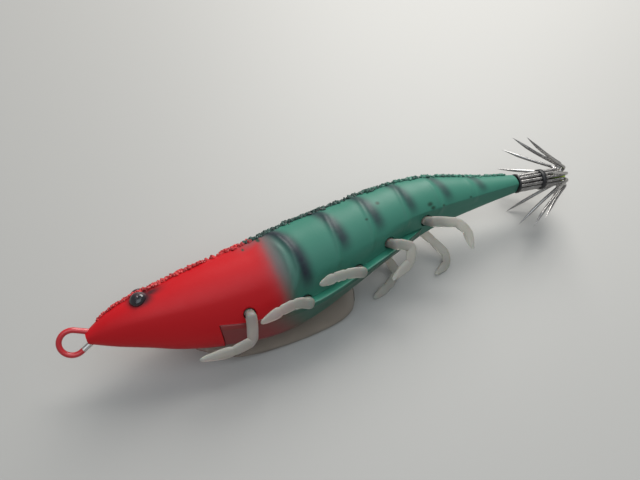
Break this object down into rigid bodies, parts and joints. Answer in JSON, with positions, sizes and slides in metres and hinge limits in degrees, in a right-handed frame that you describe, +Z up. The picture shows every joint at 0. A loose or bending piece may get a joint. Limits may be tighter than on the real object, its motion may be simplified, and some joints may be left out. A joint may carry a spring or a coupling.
{
  "type": "squid jig",
  "caption": "Shrimp-shaped squid jig with a hollow painted body, weighted belly, clear keel, swinging soft legs, a wire line eye and a tail crown of upturned needles.",
  "frame": {"origin": "centre of the bounding box's base, on the table under the jig", "axes": "+X along the body from the line eye to the needle crown, +Y towards the side that the back faces, +Z up from the table; the jig lies on its right side, leaning on its keel, as it rests"},
  "size_m": [0.1258, 0.0264, 0.0228],
  "materials": {
    "painted_shell": "satin airbrushed paint, red at the head and green behind",
    "grit_red": "coarse red grit",
    "grit_green": "coarse dark green grit",
    "eye_black": "glossy black",
    "red_wire": "red paint on steel wire",
    "green_cover": "satin dark green paint, dark red at the front",
    "sinker_metal": "dull grey cast metal",
    "clear_keel": "smoky clear plastic",
    "silicone": "soft milky silicone",
    "shaft_steel": "plain steel",
    "black_trim": "black",
    "needle_steel": "dark plated steel",
    "lime_bead": "lime"
  },
  "bodies": {
    "jig_body": {"shell_left": "painted_shell", "shell_right": "painted_shell", "back_grit_head": "grit_red", "back_grit_body": "grit_green", "eye_left": "eye_black", "eye_right": "eye_black", "line_eye": "red_wire", "belly_cover": "green_cover", "sinker": "sinker_metal", "keel_fin": "clear_keel", "leg_web": "silicone", "tail_shaft": "shaft_steel", "tail_collar": "black_trim", "needles": "needle_steel", "binding_ring": "black_trim", "crown_bead": "lime_bead"},
    "leg_left_1": {"leg_left_1": "silicone"},
    "leg_left_2": {"leg_left_2": "silicone"},
    "leg_left_3": {"leg_left_3": "silicone"},
    "leg_left_4": {"leg_left_4": "silicone"},
    "leg_left_5": {"leg_left_5": "silicone"},
    "leg_right_1": {"leg_right_1": "silicone"},
    "leg_right_2": {"leg_right_2": "silicone"},
    "leg_right_3": {"leg_right_3": "silicone"},
    "leg_right_4": {"leg_right_4": "silicone"},
    "leg_right_5": {"leg_right_5": "silicone"}
  },
  "joints": [
    {"name": "leg_left_1_swing", "type": "hinge", "parent": "jig_body", "child": "leg_left_1", "pos_m": [-0.02401, -0.00587, 0.01341], "axis": [-0.0093, 0.6899, -0.7239], "range_deg": [-20, 20], "stiffness_Nm_per_rad": 0.0004},
    {"name": "leg_left_2_swing", "type": "hinge", "parent": "jig_body", "child": "leg_left_2", "pos_m": [-0.01123, -0.00732, 0.01187], "axis": [-0.0093, 0.6899, -0.7239], "range_deg": [-20, 20], "stiffness_Nm_per_rad": 0.0004},
    {"name": "leg_left_3_swing", "type": "hinge", "parent": "jig_body", "child": "leg_left_3", "pos_m": [0.00209, -0.00573, 0.01321], "axis": [-0.0093, 0.6899, -0.7239], "range_deg": [-20, 20], "stiffness_Nm_per_rad": 0.0004},
    {"name": "leg_left_4_swing", "type": "hinge", "parent": "jig_body", "child": "leg_left_4", "pos_m": [0.01082, -0.00327, 0.01545], "axis": [-0.0093, 0.6899, -0.7239], "range_deg": [-20, 20], "stiffness_Nm_per_rad": 0.0004},
    {"name": "leg_left_5_swing", "type": "hinge", "parent": "jig_body", "child": "leg_left_5", "pos_m": [0.02133, -0.00211, 0.01641], "axis": [-0.0093, 0.6899, -0.7239], "range_deg": [-20, 20], "stiffness_Nm_per_rad": 0.0004},
    {"name": "leg_right_1_swing", "type": "hinge", "parent": "jig_body", "child": "leg_right_1", "pos_m": [-0.02412, 0.00241, 0.00473], "axis": [-0.0093, 0.6899, -0.7239], "range_deg": [-20, 20], "stiffness_Nm_per_rad": 0.0004},
    {"name": "leg_right_2_swing", "type": "hinge", "parent": "jig_body", "child": "leg_right_2", "pos_m": [-0.01134, 0.00096, 0.00318], "axis": [-0.0093, 0.6899, -0.7239], "range_deg": [-20, 20], "stiffness_Nm_per_rad": 0.0004},
    {"name": "leg_right_3_swing", "type": "hinge", "parent": "jig_body", "child": "leg_right_3", "pos_m": [0.00198, 0.00255, 0.00453], "axis": [-0.0093, 0.6899, -0.7239], "range_deg": [-20, 20], "stiffness_Nm_per_rad": 0.0004},
    {"name": "leg_right_4_swing", "type": "hinge", "parent": "jig_body", "child": "leg_right_4", "pos_m": [0.01071, 0.00501, 0.00676], "axis": [-0.0093, 0.6899, -0.7239], "range_deg": [-20, 20], "stiffness_Nm_per_rad": 0.0004},
    {"name": "leg_right_5_swing", "type": "hinge", "parent": "jig_body", "child": "leg_right_5", "pos_m": [0.02122, 0.00617, 0.00773], "axis": [-0.0093, 0.6899, -0.7239], "range_deg": [-20, 20], "stiffness_Nm_per_rad": 0.0004}
  ]
}
